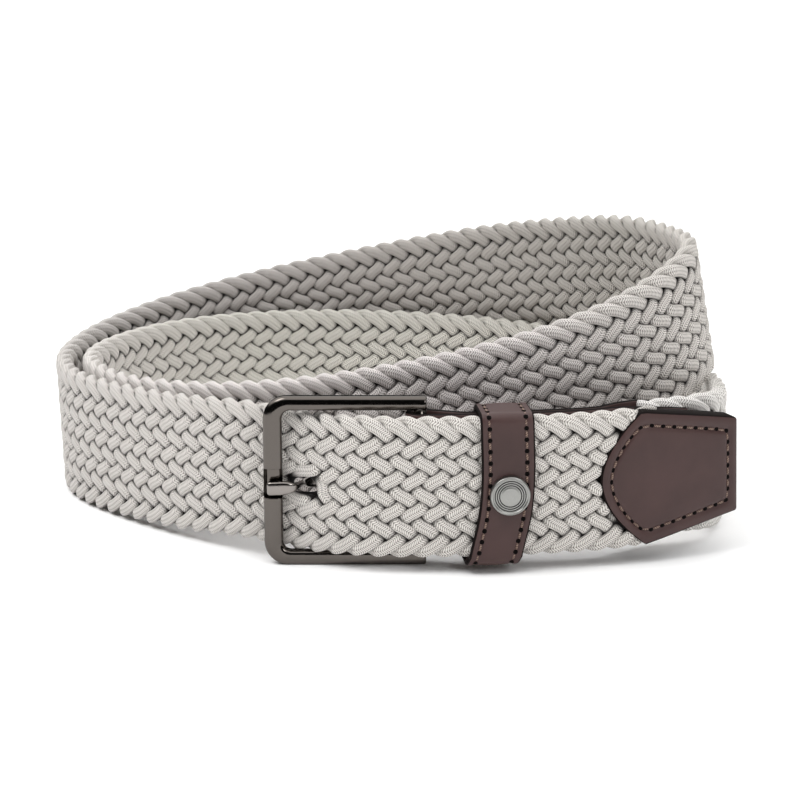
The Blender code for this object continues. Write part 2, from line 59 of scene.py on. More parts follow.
# The strap's route behind the buckle, counter-clockwise from above: share of the coil's width
# and depth, lift of the lower edge as a share of the strap's width, share of the ride over the
# frame's lower bar, lean of the top outward in degrees
route = np.array((
    (0.463, 0.239, 0.000, 0.25, 0.0),
    (0.473, 0.364, 0.000, 0.00, 0.0),
    (0.445, 0.500, 0.000, 0.00, 0.0),
    (0.380, 0.633, 0.000, 0.00, 0.0),
    (0.272, 0.764, 0.000, 0.00, 0.5),
    (0.133, 0.861, 0.000, 0.00, 1.0),
    (-0.034, 0.918, 0.000, 0.00, 1.5),
    (-0.208, 0.914, 0.000, 0.00, 2.0),
    (-0.355, 0.839, 0.000, 0.00, 2.0),
    (-0.451, 0.704, 0.000, 0.00, 1.5),
    (-0.482, 0.546, 0.000, 0.00, 1.5),
    (-0.428, 0.407, 0.000, 0.00, 2.0),
    (-0.317, 0.306, 0.032, 0.00, 2.6),
    (-0.165, 0.238, 0.122, 0.00, 2.8),
    (0.007, 0.204, 0.282, 0.00, 2.6),
    (0.181, 0.201, 0.490, 0.00, 1.4),
    (0.340, 0.241, 0.760, 0.00, -2.3),
    (0.412, 0.305, 0.930, 0.00, -6.2),
    (0.445, 0.379, 1.025, 0.00, -9.5),
    (0.433, 0.512, 1.045, 0.00, -11.5),
    (0.382, 0.643, 1.025, 0.00, -10.6),
    (0.299, 0.771, 0.925, 0.00, -8.1),
    (0.181, 0.885, 0.780, 0.00, -4.6),
    (0.020, 0.965, 0.581, 0.00, -0.8),
    (-0.165, 0.980, 0.375, 0.00, 2.6),
    (-0.341, 0.913, 0.198, 0.00, 4.6),
    (-0.472, 0.770, 0.064, 0.00, 4.8),
    (-0.521, 0.593, 0.006, 0.00, 3.5),
    (-0.497, 0.425, 0.000, 0.00, 0.5),
    (-0.418, 0.300, 0.000, 0.15, -1.6),
))

# The front run through the buckle, as shares of the distance from heel bar to strap end:
# how far before the end, how far back, then ride and lean as above
frontRun = np.array((
    (1.704, 0.3236, 0.50, -2.2),
    (1.502, 0.1830, 0.90, -1.6),
    (1.308, 0.0703, 1.00, -0.8),
    (1.125, -0.0106, 1.00, -0.3),
    (0.946, -0.0246, 1.00, 0.0),
    (0.771, -0.0159, 1.00, 0.0),
    (0.571, 0.0088, 1.00, 0.0),
    (0.325, 0.0598, 1.00, 0.0),
    (0.138, 0.1319, 1.00, 0.0),
    (0.000, 0.1970, 1.00, 0.0),
))

# Camera, floor and lights

view = {
    "stand": (0.0, -525.588, 182.961),  # millimetres, before the belt's place is added
    "downDegrees": 15.0,
    "focalPixels": 2300.0,
    "imagePixels": 800.0,
    "sensor": 36.0,
}

studio = {
    "floor": "#ffffff",
    "skyHigh": 1.83,
    "skyLow": 0.02,
    "skyFrom": 0.3,
    "skyTo": 0.6,
    "frontDark": 0.5,
    "key": {"size": (1.0, 1.0), "power": 17.0, "place": (-1.1, -0.5, 1.9)},
    "front": {"size": (0.6, 0.5), "power": 5.5, "place": (0.9, -1.3, 0.85)},
}


def linear(code):
    # sRGB hex to linear red, green, blue
    channels = np.array([int(code[i:i + 2], 16) for i in (1, 3, 5)]) / 255.0
    low, high = channels / 12.92, ((channels + 0.055) / 1.055) ** 2.4
    return tuple(float(c) for c in np.where(channels <= 0.04045, low, high)) + (1.0,)


def feed(look, node, inputs):
    # set inputs to values, or link them to sockets; a node stands for its first output
    for key, value in inputs.items():
        if isinstance(value, bpy.types.Node):
            value = value.outputs[0]
        if isinstance(value, bpy.types.NodeSocket):
            look.node_tree.links.new(value, node.inputs[key])
        else:
            node.inputs[key].default_value = value


def addNode(look, kind, inputs=None, **settings):
    # one node with its settings and inputs
    node = look.node_tree.nodes.new("ShaderNode" + kind)
    for name, value in settings.items():
        setattr(node, name, value)
    feed(look, node, inputs or {})
    return node


def newLook(name, values):
    # a material and its Principled shader with these fixed socket values
    look = bpy.data.materials.new(name)
    look.use_nodes = True
    shader = look.node_tree.nodes["Principled BSDF"]
    feed(look, shader, values)
    return look, shader


def roughen(look, shader, scale, detail, strength, distance):
    # fine unevenness in the surface; gives its noise back
    place = addNode(look, "TexCoord")
    noise = addNode(look, "TexNoise", {"Vector": place.outputs["Object"], "Scale": scale,
        "Detail": detail})
    bump = addNode(look, "Bump", {"Height": noise, "Strength": strength, "Distance": distance})
    feed(look, shader, {"Normal": bump})
    return noise


def standCamera():
    data = bpy.data.cameras.new("camera")
    data.sensor_width = view["sensor"]
    data.lens = view["sensor"] * view["focalPixels"] / view["imagePixels"]
    data.clip_start, data.clip_end = 0.02, 20.0
    camera = bpy.data.objects.new("camera", data)
    camera.location = 0.001 * (np.array(view["stand"]) + np.array(belt["place"]))
    camera.rotation_euler = (math.radians(90.0 - view["downDegrees"]), 0.0, 0.0)
    bpy.context.scene.collection.objects.link(camera)
    bpy.context.scene.camera = camera


def hangLight(name, values):
    data = bpy.data.lights.new(name, "AREA")
    data.shape = "RECTANGLE"
    data.size, data.size_y = values["size"]
    data.energy = values["power"]
    light = bpy.data.objects.new(name, data)
    light.location = values["place"]
    aim = mathutils.Vector((0.0, 0.0, 0.02)) - mathutils.Vector(values["place"])
    light.rotation_euler = aim.to_track_quat("-Z", "Y").to_euler()
    bpy.context.scene.collection.objects.link(light)


def setStudio():
    # a seamless white paper floor, a pale room and soft boxes
    paper, shader = newLook("matt_paper", {"Roughness": 0.9, "Specular IOR Level": 0.2,
        "Base Color": linear(studio["floor"])})
    mesh = bpy.data.meshes.new("floor")
    side = 6.0
    mesh.from_pydata([(-side, -side, 0), (side, -side, 0), (side, side, 0), (-side, side, 0)], [],
        [(0, 1, 2, 3)])
    mesh.materials.append(paper)
    floor = bpy.data.objects.new("floor", mesh)
    bpy.context.scene.collection.objects.link(floor)
    # the room is bright overhead and dark near the horizon, which the metal reflects as a
    # dark band
    room = bpy.data.worlds.new("room")
    room.use_nodes = True
    place = addNode(room, "TexCoord")
    parts = addNode(room, "SeparateXYZ", {0: place.outputs["Generated"]})
    ahead = addNode(room, "Math", {0: parts.outputs["Y"], 1: 0.0}, operation="MINIMUM")
    high = addNode(room, "Math", {0: ahead, 1: studio["frontDark"], 2: parts.outputs["Z"]},
        operation="MULTIPLY_ADD")
    rise = addNode(room, "MapRange", {0: high, 1: studio["skyFrom"], 2: studio["skyTo"],
        3: studio["skyLow"], 4: studio["skyHigh"]}, interpolation_type="SMOOTHSTEP")
    background = room.node_tree.nodes["Background"]
    feed(room, background, {"Strength": rise, "Color": linear("#ffffff")})
    bpy.context.scene.world = room
    bpy.context.scene.view_settings.view_transform = "Standard"
    for name in ("key", "front"):
        hangLight(name + "_softbox", studio[name])


standCamera()
setStudio()
print("camera, floor and lights stand")

# The belt's line in space


def unit(vectors):
    return vectors / np.linalg.norm(vectors, axis=-1, keepdims=True)


def runAlong(points):
    # distance to each point from the first
    step = np.linalg.norm(np.diff(points, axis=-2), axis=-1)
    return np.insert(np.cumsum(step, axis=-1), 0, 0.0, axis=-1)


def fullTurn(count):
    return np.linspace(0.0, 2 * np.pi, count, endpoint=False)


def signedPower(values, power):
    # each value's size raised to a power, its sign kept
    return np.sign(values) * np.abs(values) ** power


def splineThrough(knots, values, at):
    # natural cubic spline through rows of values
    count = len(knots)
    step = np.diff(knots)
    matrix = np.eye(count)
    right = np.zeros((count, values.shape[1]))
    slope = np.diff(values, axis=0) / step[:, None]
    inner = np.arange(1, count - 1)
    matrix[inner, inner - 1] = step[:-1]
    matrix[inner, inner] = 2 * (step[:-1] + step[1:])
    matrix[inner, inner + 1] = step[1:]
    right[1:-1] = 3 * (slope[1:] - slope[:-1])
    second = np.linalg.solve(matrix, right)
    first = slope - step[:, None] * (2 * second[:-1] + second[1:]) / 3
    third = np.diff(second, axis=0) / (3 * step[:, None])
    cell = np.clip(np.searchsorted(knots, at, side="right") - 1, 0, count - 2)
    x = (at - knots[cell])[:, None]
    return values[cell] + first[cell] * x + second[cell] * x ** 2 + third[cell] * x ** 3


def layLine(rows):
    # middle points and lean at 3000 steps, with the length to each
    knots = runAlong(rows[:, :3])
    fine = splineThrough(knots, rows, np.linspace(0.0, knots[-1], 3000))
    fine[:, 2] = np.maximum(fine[:, 2], 0.5 * belt["width"])
    lengths = runAlong(fine[:, :3])
    return {"fine": fine, "lengths": lengths, "length": lengths[-1],
        "ahead": unit(np.gradient(fine[:, :3], axis=0))}


def readAlong(lengths, values, at):
    # every column of a table read between its rows at these lengths
    return np.stack([np.interp(at, lengths, column) for column in values.T], axis=-1)


def standAt(line, at):
    # middle points and the directions along, up and out at these lengths; straight past the end
    at = np.asarray(at, dtype=float)
    inside = np.clip(at, 0.0, line["length"])
    rows = readAlong(line["lengths"], line["fine"], inside)
    along = unit(readAlong(line["lengths"], line["ahead"], inside))
    flat = unit(along * np.array((1.0, 1.0, 0.0)))
    side = np.stack((flat[..., 1], -flat[..., 0], 0 * flat[..., 0]), axis=-1)
    lean = np.radians(rows[..., 3:4])
    up = np.array((0.0, 0.0, 1.0)) * np.cos(lean) + side * np.sin(lean)
    up = unit(up - np.sum(up * along, axis=-1, keepdims=True) * along)
    return (rows[..., :3] + along * (at - inside)[..., None], along, up, np.cross(along, up))


tab = {
    "ply": 1.5,
    "length": 68.0,
    "lap": 12.0,
    "close": 11.0,
    "foldEase": 0.05,
    "slotHeight": 4.6,
    "endNarrow": 2.8,
    "narrowOver": 20.0,
    "heelRadius": 1.6,
    "heelGap": 0.4,
}
tipThickness = 4.8


def tabOpening(along):
    # half the distance between the tab's two plies, at a distance from the heel bar
    atBar = tab["heelRadius"] + tab["heelGap"] + 0.5 * tab["ply"]
    closed = 0.5 * (tab["ply"] + belt["fitGap"])
    atLap = 0.5 * belt["thickness"] + belt["fitGap"] + 0.5 * tab["ply"]
    lapStart = tab["length"] - tab["lap"]
    knots = (0.0, tab["close"], lapStart - tab["close"], lapStart - belt["fitGap"])
    return np.interp(along, knots, (atBar, closed, closed, atLap))


def behindFrontRun():
    # from the front run's middle to the middle of the tab's front ply
    return 0.5 * max(belt["thickness"], tipThickness) + belt["runGap"] + 0.5 * tab["ply"]


def layBelt():
    # the strap from the tab's lap, round both turns and through the buckle to its end
    ride = belt["frameBar"] + belt["sideGap"]
    width = belt["width"]
    coil = np.stack((route[:, 0] * belt["coilWidth"], route[:, 1] * belt["coilDepth"],
        route[:, 2] * width + route[:, 3] * ride + 0.5 * width, route[:, 4]), axis=1)
    reach = belt["heelFromEnd"]
    run = np.stack((belt["runEnd"] * belt["coilWidth"] - frontRun[:, 0] * reach,
        frontRun[:, 1] * reach, frontRun[:, 2] * ride + 0.5 * width, frontRun[:, 3]), axis=1)
    rows = np.concatenate((coil, run))
    front = layLine(rows)
    along = tab["length"] - tab["lap"] * np.array((1.0, 0.67, 0.33, 0.0, -0.2))
    middle, ahead, up, out = standAt(front, front["length"] - reach + along)
    shift = behindFrontRun() + tabOpening(along)
    start = np.concatenate((middle - out * shift[:, None], 0.0 * middle[:, :1]), axis=1)
    return layLine(np.concatenate((start, rows)))


strapLine = layBelt()
heelMiddle = standAt(strapLine, strapLine["length"] - belt["heelFromEnd"])[0]
heel = np.array((heelMiddle[0],
                 heelMiddle[1] + behindFrontRun() + 0.5 * tab["ply"] + tab["heelGap"]
                 + tab["heelRadius"],
                 0.5 * belt["width"] + belt["sideGap"] + belt["frameBar"]))
print("route laid: strap of", round(strapLine["length"]), "mm")

# the free end lifts slightly; too little for the solids to follow
endLift = {"height": 1.3, "over": 45.0}
fromEnd = np.clip(1.0 - (strapLine["length"] - strapLine["lengths"]) / endLift["over"], 0.0, 1.0)
strapLine["fine"][:, 2] += endLift["height"] * fromEnd ** 2 * (3.0 - 2.0 * fromEnd)

# Meshes


def gridCells(rows, columns, closeRows=False, closeColumns=False):
    # the four corners of every cell of a grid, and the same corners' unwrapped row and column
    row, column = np.meshgrid(np.arange(rows if closeRows else rows - 1),
        np.arange(columns if closeColumns else columns - 1), indexing="ij")
    row, column = row.ravel(), column.ravel()
    rowOf = np.stack((row, row, row + 1, row + 1), axis=1)
    columnOf = np.stack((column, column + 1, column + 1, column), axis=1)
    return (rowOf % rows) * columns + columnOf % columns, rowOf, columnOf


def endCaps(rows, columns):
    # the first and last ring of a grid, as flat faces
    return np.arange(columns)[::-1], (rows - 1) * columns + np.arange(columns)


def makePiece(name, points, quads, looks, uv=None, caps=(), lookOf=None, slot=None,
              stands=(), deep=None):
    # a smooth mesh in metres; caps are rings of corners closed by one flat face each
    points = 0.001 * (np.asarray(points, dtype=float).reshape(-1, 3) + np.array(belt["place"]))
    a, b, c, d = (points[quads[:, i]] for i in range(4))
    volume = np.sum(np.cross(b - a, c - a) * a) + np.sum(np.cross(c - a, d - a) * a)
    for cap in caps:
        ring = points[np.asarray(cap)]
        spokes = ring - ring[0]
        volume += np.sum(np.cross(spokes[1:-1], spokes[2:]) * ring[0])
    if volume < 0.0:
        quads = quads[:, ::-1]
        uv = None if uv is None else uv[:, ::-1]
        caps = [np.asarray(cap)[::-1] for cap in caps]
    corners = np.concatenate([quads.ravel()] + [np.asarray(cap) for cap in caps])
    sizes = np.concatenate((np.full(len(quads), 4), [len(cap) for cap in caps])).astype(int)
    mesh = bpy.data.meshes.new(name)
    mesh.vertices.add(len(points))
    mesh.vertices.foreach_set("co", points.ravel())
    mesh.loops.add(len(corners))
    mesh.loops.foreach_set("vertex_index", corners.astype(np.int32))
    mesh.polygons.add(len(sizes))
    starts = np.concatenate(([0], np.cumsum(sizes)[:-1]))
    mesh.polygons.foreach_set("loop_start", starts.astype(np.int32))
    mesh.polygons.foreach_set("loop_total", sizes.astype(np.int32))
    if lookOf is not None:
        which = np.concatenate((lookOf, np.zeros(len(caps), dtype=int)))
        mesh.polygons.foreach_set("material_index", which.astype(np.int32))
    mesh.update(calc_edges=True)
    if uv is not None:
        layer = mesh.uv_layers.new(name="millimetres")
        rest = len(corners) - uv.shape[0] * 4
        spread = np.concatenate((uv.reshape(-1, 2), np.zeros((rest, 2))))
        layer.data.foreach_set("uv", spread.astype(np.float32).ravel())
    # deep gives each corner's value for the braid's painted shade
    if deep is not None:
        layer = mesh.attributes.new("paintedShadeDepth", "FLOAT", "POINT")
        layer.data.foreach_set("value", np.asarray(deep, dtype=np.float32).ravel())
    mesh.shade_smooth()
    for look in looks:
        mesh.materials.append(look)
    piece = bpy.data.objects.new(name, mesh)
    bpy.context.scene.collection.objects.link(piece)
    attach(piece, "root")
    if stands:
        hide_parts(*stands)
    return piece


def sweep(name, rings, looks, alongMm, acrossMm, closeRows=False, **more):
    # skin closed rings carried along a path; their two ends are capped unless the path closes
    rings = np.asarray(rings)
    rows, columns = rings.shape[:2]
    quads, rowOf, columnOf = gridCells(rows, columns, closeRows, True)
    uv = np.stack((np.asarray(alongMm)[rowOf], np.asarray(acrossMm)[columnOf]), axis=-1)
    caps = () if closeRows else endCaps(rows, columns)
    lookOf = more.pop("lookOf", None)
    if lookOf is not None:
        lookOf = lookOf(rowOf[:, 0], columnOf[:, 0])
    return makePiece(name, rings, quads, looks, uv=uv, caps=caps, lookOf=lookOf, **more)


def squircle(halfWide, halfDeep, power, count):
    # rings of (wide, deep): |wide / halfWide| ^ power + |deep / halfDeep| ^ power = 1
    turn = fullTurn(count)
    wide = signedPower(np.cos(turn), 2.0 / power)
    deep = signedPower(np.sin(turn), 2.0 / power)
    return (np.atleast_1d(halfWide)[:, None] * wide, np.atleast_1d(halfDeep)[:, None] * deep)


def makeTubes(name, rings, looks, alongMm, aroundMm, **more):
    # many equal grids of closed rings in one mesh, each capped at both ends; rings is an array
    # of tube, row, column and place
    tubes, rows, columns = rings.shape[:3]
    quads, rowOf, columnOf = gridCells(rows, columns, False, True)
    offsets = np.arange(tubes) * rows * columns
    allQuads = (offsets[:, None, None] + quads[None]).reshape(-1, 4)
    along = np.broadcast_to(alongMm, (tubes, rows))
    uv = np.stack((along[:, rowOf], np.broadcast_to(np.asarray(aroundMm)[columnOf],
        (tubes,) + columnOf.shape)), axis=-1)
    caps = [offset + cap for cap in endCaps(rows, columns) for offset in offsets]
    return makePiece(name, rings, allQuads, looks, uv=uv.reshape(-1, 4, 2), caps=caps, **more)


# The braid

braid = {
    "strands": 17,
    "pitch": 5.25,
    "cordWidth": 3.2,
    "spread": 0.2,
    "cordThickness": 2.35,
    "square": 0.72,
    "swing": 1.1,
    "crisp": 2.4,
    "flatten": 0.35,
    "turnRound": 0.25,
    "turnBend": 1.7,
    "proud": 0.2,
    "raised": 0.2,
    "sag": 0.7,
    "sagOver": 18.0,
    "step": 0.6,
    "sides": 12,
    "pieces": 5,
    "holeFromHeel": 29.0,
    "holeAcross": (5.6, 3.6),
    "thread": 0.45,  # a row of the sheath, coarser than the real one so that it shows
    "threadColumns": 12,
    "warm": "#fbf8f5",
    "cool": "#f3f0ed",
    # painted shade in the grooves between rows of thread
    "between": "#59534c",
    # painted shade: cords darken where they dive between their neighbours, dark at 1.1 mm out from
    # the strap's middle, clear at 2.0 mm
    "paintedShadeColour": "#120e0d",
    "shade": (1.1, 2.0),  # dark to light, millimetres from the strap's middle
    "takeUp": 1.27,  # cord per length of strap
    # painted shade is lifted off the cords at the strap's edges
    "edgeFrom": 13.2,
    "edgeOver": 2.0,
    "edgeLight": 1.9,
}

# painted shade along the strap's length: a multiplier on the yarn's colour at each share of the
# cord, darker where the turns lie in shade
paintedShadeAlong = (
    (0.00, "#ffffff"), (0.12, "#f0efe9"), (0.24, "#ecece5"), (0.33, "#f6f4f2"),
    (0.38, "#fffcfc"), (0.46, "#f4f0f1"), (0.53, "#ebe9e6"), (0.60, "#dad8d3"),
    (0.68, "#d8d5d2"), (0.74, "#d8d5d4"), (0.79, "#e2e0df"), (0.86, "#efedeb"),
    (1.00, "#f1efec"),
)


def cordLook():
    # polyester sheath braided round a rubber core: matt, with rows of thread in slanting columns;
    # painted shade in the grooves between the rows, painted shade along the strap's length, and
    # painted shade where a cord dives between its neighbours
    look, shader = newLook("sheathed_elastic_cord",
        {"Roughness": 0.85, "Specular IOR Level": 0.25, "Sheen Weight": 0.08,
        "Sheen Roughness": 0.5})
    uv = addNode(look, "UVMap", uv_map="millimetres")
    parts = addNode(look, "SeparateXYZ", {0: uv})
    columns = addNode(look, "Math", {0: parts.outputs["Y"], 1: float(braid["threadColumns"])},
        operation="MULTIPLY")
    slant = addNode(look, "Math", {0: columns, 1: 1.0}, operation="PINGPONG")
    rows = addNode(look, "Math", {0: parts.outputs["X"], 1: 1.0 / braid["thread"]},
        operation="MULTIPLY")
    leaned = addNode(look, "Math", {0: slant, 1: 0.9, 2: rows}, operation="MULTIPLY_ADD")
    turns = addNode(look, "Math", {0: leaned, 1: 2 * math.pi}, operation="MULTIPLY")
    wave = addNode(look, "Math", {0: turns}, operation="SINE")
    seam = addNode(look, "Math", {0: columns, 1: math.pi}, operation="MULTIPLY")
    seamWave = addNode(look, "Math", {0: seam}, operation="SINE")
    seamDeep = addNode(look, "Math", {0: seamWave}, operation="ABSOLUTE")
    relief = addNode(look, "Math", {0: seamDeep, 1: 0.9, 2: wave}, operation="MULTIPLY_ADD")
    height = addNode(look, "MapRange", {0: relief, 1: -1.0, 2: 1.2})
    place = addNode(look, "TexCoord")
    blotch = addNode(look, "TexNoise", {"Vector": place.outputs["Object"], "Scale": 180.0,
        "Detail": 2.0})
    tint = addNode(look, "Mix", {"Factor": blotch, 6: linear(braid["warm"]),
        7: linear(braid["cool"])}, data_type="RGBA")
    # painted shade in the grooves between rows of thread, by the height of the thread pattern
    threaded = addNode(look, "Mix", {"Factor": height, 6: linear(braid["between"]),
        7: tint.outputs[2]}, data_type="RGBA")
    # painted shade along the strap: the colour multiplied by a ramp read at each share of the
    # cord's length
    share = addNode(look, "Math", {0: parts.outputs["X"],
        1: 1.0 / (braid["takeUp"] * strapLine["length"])}, operation="MULTIPLY")
    run = addNode(look, "ValToRGB", {"Fac": share})
    ramp = run.color_ramp.elements
    for spot, (at, code) in enumerate(paintedShadeAlong):
        element = ramp[spot] if spot < 2 else ramp.new(at)
        element.position, element.color = at, linear(code)
    shadedAlong = addNode(look, "Mix", {"Factor": 1.0, 6: threaded.outputs[2], 7: run}, data_type="RGBA",
        blend_type="MULTIPLY")
    # painted shade where a cord dives between its neighbours, read from each corner's distance out
    # from the strap's middle
    paintedShadeDepth = addNode(look, "Attribute", attribute_name="paintedShadeDepth")
    lit = addNode(look, "MapRange", {0: paintedShadeDepth.outputs["Fac"], 1: braid["shade"][0],
        2: braid["shade"][1]}, interpolation_type="SMOOTHSTEP")
    colour = addNode(look, "Mix", {"Factor": lit, 6: linear(braid["paintedShadeColour"]), 7: shadedAlong.outputs[2]},
        data_type="RGBA")
    bump = addNode(look, "Bump", {"Height": height, "Strength": 0.7, "Distance": 0.00014})
    feed(look, shader, {"Base Color": colour.outputs[2], "Normal": bump})
    return look


edgeRow = 4.25  # rows from the strap's middle to a strand's turn
rowHeight = ((0.5 * belt["width"] + braid["proud"] - 0.5 * braid["cordWidth"])
             / (edgeRow - braid["turnRound"]))


def strandPlace(phase):
    # height and depth of a strand's middle. Its phase runs 17 pitches there and back. It turns
    # round at each edge, 4.25 rows from the middle, and lies flatter in the middle of each row;
    # depth swings from face to face once a row, with a longer row at each edge
    period, longRow = 4 * edgeRow, 1.25
    phase = np.mod(phase, period)
    fromTurn = np.abs(np.mod(phase + edgeRow, 2 * edgeRow) - edgeRow)
    side = np.where(np.mod(phase + edgeRow, period) < 0.5 * period, 1.0, -1.0)
    edge = braid["turnRound"] + (longRow - braid["turnRound"]) * np.clip(fromTurn / longRow, 0.0,
        1.0) ** braid["turnBend"]
    row = edgeRow - np.where(fromTurn < longRow, edge, fromTurn)
    wave = braid["flatten"] / (2 * np.pi) * np.sin(2 * np.pi * row)
    height = side * rowHeight * (row + np.where(fromTurn < longRow, 0.0, wave))
    half = np.concatenate(([0.0], np.arange(1, 8) + 0.25, [0.5 * period]))
    knots = np.concatenate((half, 0.5 * period + half[1:]))
    swing = np.sin(np.pi * np.interp(phase, knots, np.arange(period)))
    depth = braid["swing"] * np.tanh(braid["crisp"] * swing) / np.tanh(braid["crisp"])
    return height + braid["raised"], depth


def openForProng(at, height, holeAt, holeHeight):
    # strands near the prong's hole are pushed out of an ellipse round it
    wide, tall = braid["holeAcross"]
    du, dv = at - holeAt, height - holeHeight
    far = np.hypot(du / wide, dv / tall) + 1e-6
    pushed = (far ** 3 + 1.0) ** (1.0 / 3.0)
    return holeAt + du * pushed / far, holeHeight + dv * pushed / far


tip = {
    "length": 36.4,
    "mouth": 10.9,
    "mouthLean": 1.1,
    "endLean": 0.7,
    "thickness": tipThickness,
    "mouthWidth": 34.0,
    "endWidth": 24.0,
    "corner": 1.5,
    "edgeRound": 0.75,
    "sideInset": 3.6,
    "endInset": 2.8,
    "mouthInset": 2.6,
    "stitch": 3.05,
    "groove": 0.3,
    "puff": 0.3,
    "paint": 0.33,
}


def mouthBack(share):
    # how far the leather's mouth falls back from its apex at a share of the half width
    return tip["mouth"] * np.abs(share) ** 1.9 - tip["mouthLean"] * share


def plaitBraid(look):
    # each cord is a rounded profile carried along the strap; strandPlace moves its middle
    # across the strap and from face to face, and its end is pressed flat in the tip
    length = strapLine["length"]
    holeAt = length - belt["heelFromEnd"] - braid["holeFromHeel"]
    holeHeight = -0.25 * rowHeight + braid["raised"]
    last = length - tip["length"] + tip["mouth"] + 3.0
    at = np.linspace(0.5, last, int((last - 0.5) / braid["step"]))
    around = fullTurn(braid["sides"])
    wide = 0.5 * braid["cordWidth"] * signedPower(np.cos(around), braid["square"])
    deep = 0.5 * braid["cordThickness"] * signedPower(np.sin(around), braid["square"])
    strands = np.arange(braid["strands"])
    height, depth = strandPlace((at[None, :] - holeAt) / braid["pitch"] - strands[:, None])
    pushedAt, height = openForProng(at[None, :], height, holeAt, holeHeight)
    # the strap sags a little round the prong, down to the frame's lower arm
    fromHole = np.clip(np.abs(pushedAt - holeAt) / braid["sagOver"], 0.0, 1.0)
    height = height - braid["sag"] * (1.0 - fromHole ** 2) ** 2
    mouth = length - tip["length"] + mouthBack(height / (0.5 * belt["width"]))
    squeeze = 1.0 - 0.8 * np.clip((pushedAt - mouth + 0.3) / 1.5, 0.0, 1.0)
    middle, along, up, out = standAt(strapLine, pushedAt)
    points = middle + up * height[..., None] + out * (depth * squeeze)[..., None]
    ahead = unit(np.gradient(points, axis=1))
    across = unit(np.cross(ahead, out))
    thick = np.cross(across, ahead)
    atEdge = np.clip((np.abs(height) - 13.0) / 2.0, 0.0, 1.0)
    spread = 1.0 + braid["spread"] * (1.0 - (depth / braid["swing"]) ** 2) * (1.0 - atEdge)
    rings = (points[:, :, None] + across[:, :, None] * (spread[..., None] * wide)[..., None]
        + thick[:, :, None] * (squeeze[..., None] * deep)[..., None])
    # painted shade: each corner's distance out from the strap's middle darkens the cords where
    # they dive, kept light at the strap's edges
    paintedShadeDepth = np.sum((rings - middle[:, :, None]) * out[:, :, None], axis=-1)
    atEdge = np.clip((np.abs(height) - braid["edgeFrom"]) / braid["edgeOver"], 0.0, 1.0)
    paintedShadeDepth = np.maximum(np.abs(paintedShadeDepth), braid["edgeLight"] * atEdge[..., None])
    run = runAlong(points)
    for number, group in enumerate(np.array_split(strands, braid["pieces"]), 1):
        makeTubes("braid_cords_%d" % number, rings[group], [look], run[group],
            np.arange(braid["sides"] + 1) / braid["sides"], slot="braided_strap",
            stands=("braided_strap",), deep=paintedShadeDepth[group])


plaitBraid(cordLook())
print("braid plaited")

# The buckle

buckle = {
    "length": 39.2,
    "bar": 3.4,
    "frontBar": 4.6,
    "depth": 3.4,
    "corner": 5.7,
    "power": 2.9,
    "topPower": 4.0,
    "footPower": 4.5,
    "bevel": 0.33,
    "footLean": 0.07,
    "endRound": 0.5,
    "notchHeight": 7.4,
    "notchDepth": 2.4,
    "notchDrop": 0.5,
    "prongDrop": 1.75,
    "prongTall": 3.5,
    "prongThick": 2.1,
    "stripThick": 1.1,
    "prongPower": 3.2,
    "prongNarrowFrom": 33.4,
    "prongNarrowOver": 3.6,
    "prongWideFrom": 24.0,
    "face": "#5d5854",
    "tongue": "#86817d",
}


def gunmetalLook(name, roughness, face):
    # zinc casting plated in black nickel and polished: a dark, slightly warm mirror
    look, shader = newLook(name, {"Metallic": 1.0, "Roughness": roughness,
        "Base Color": linear(face)})
    rub = roughen(look, shader, 900.0, 4.0, 0.05, 0.00005)
    wear = addNode(look, "MapRange", {0: rub, 1: 0.3, 2: 0.7, 3: roughness - 0.03,
        4: roughness + 0.05})
    feed(look, shader, {"Roughness": wear})
    return look


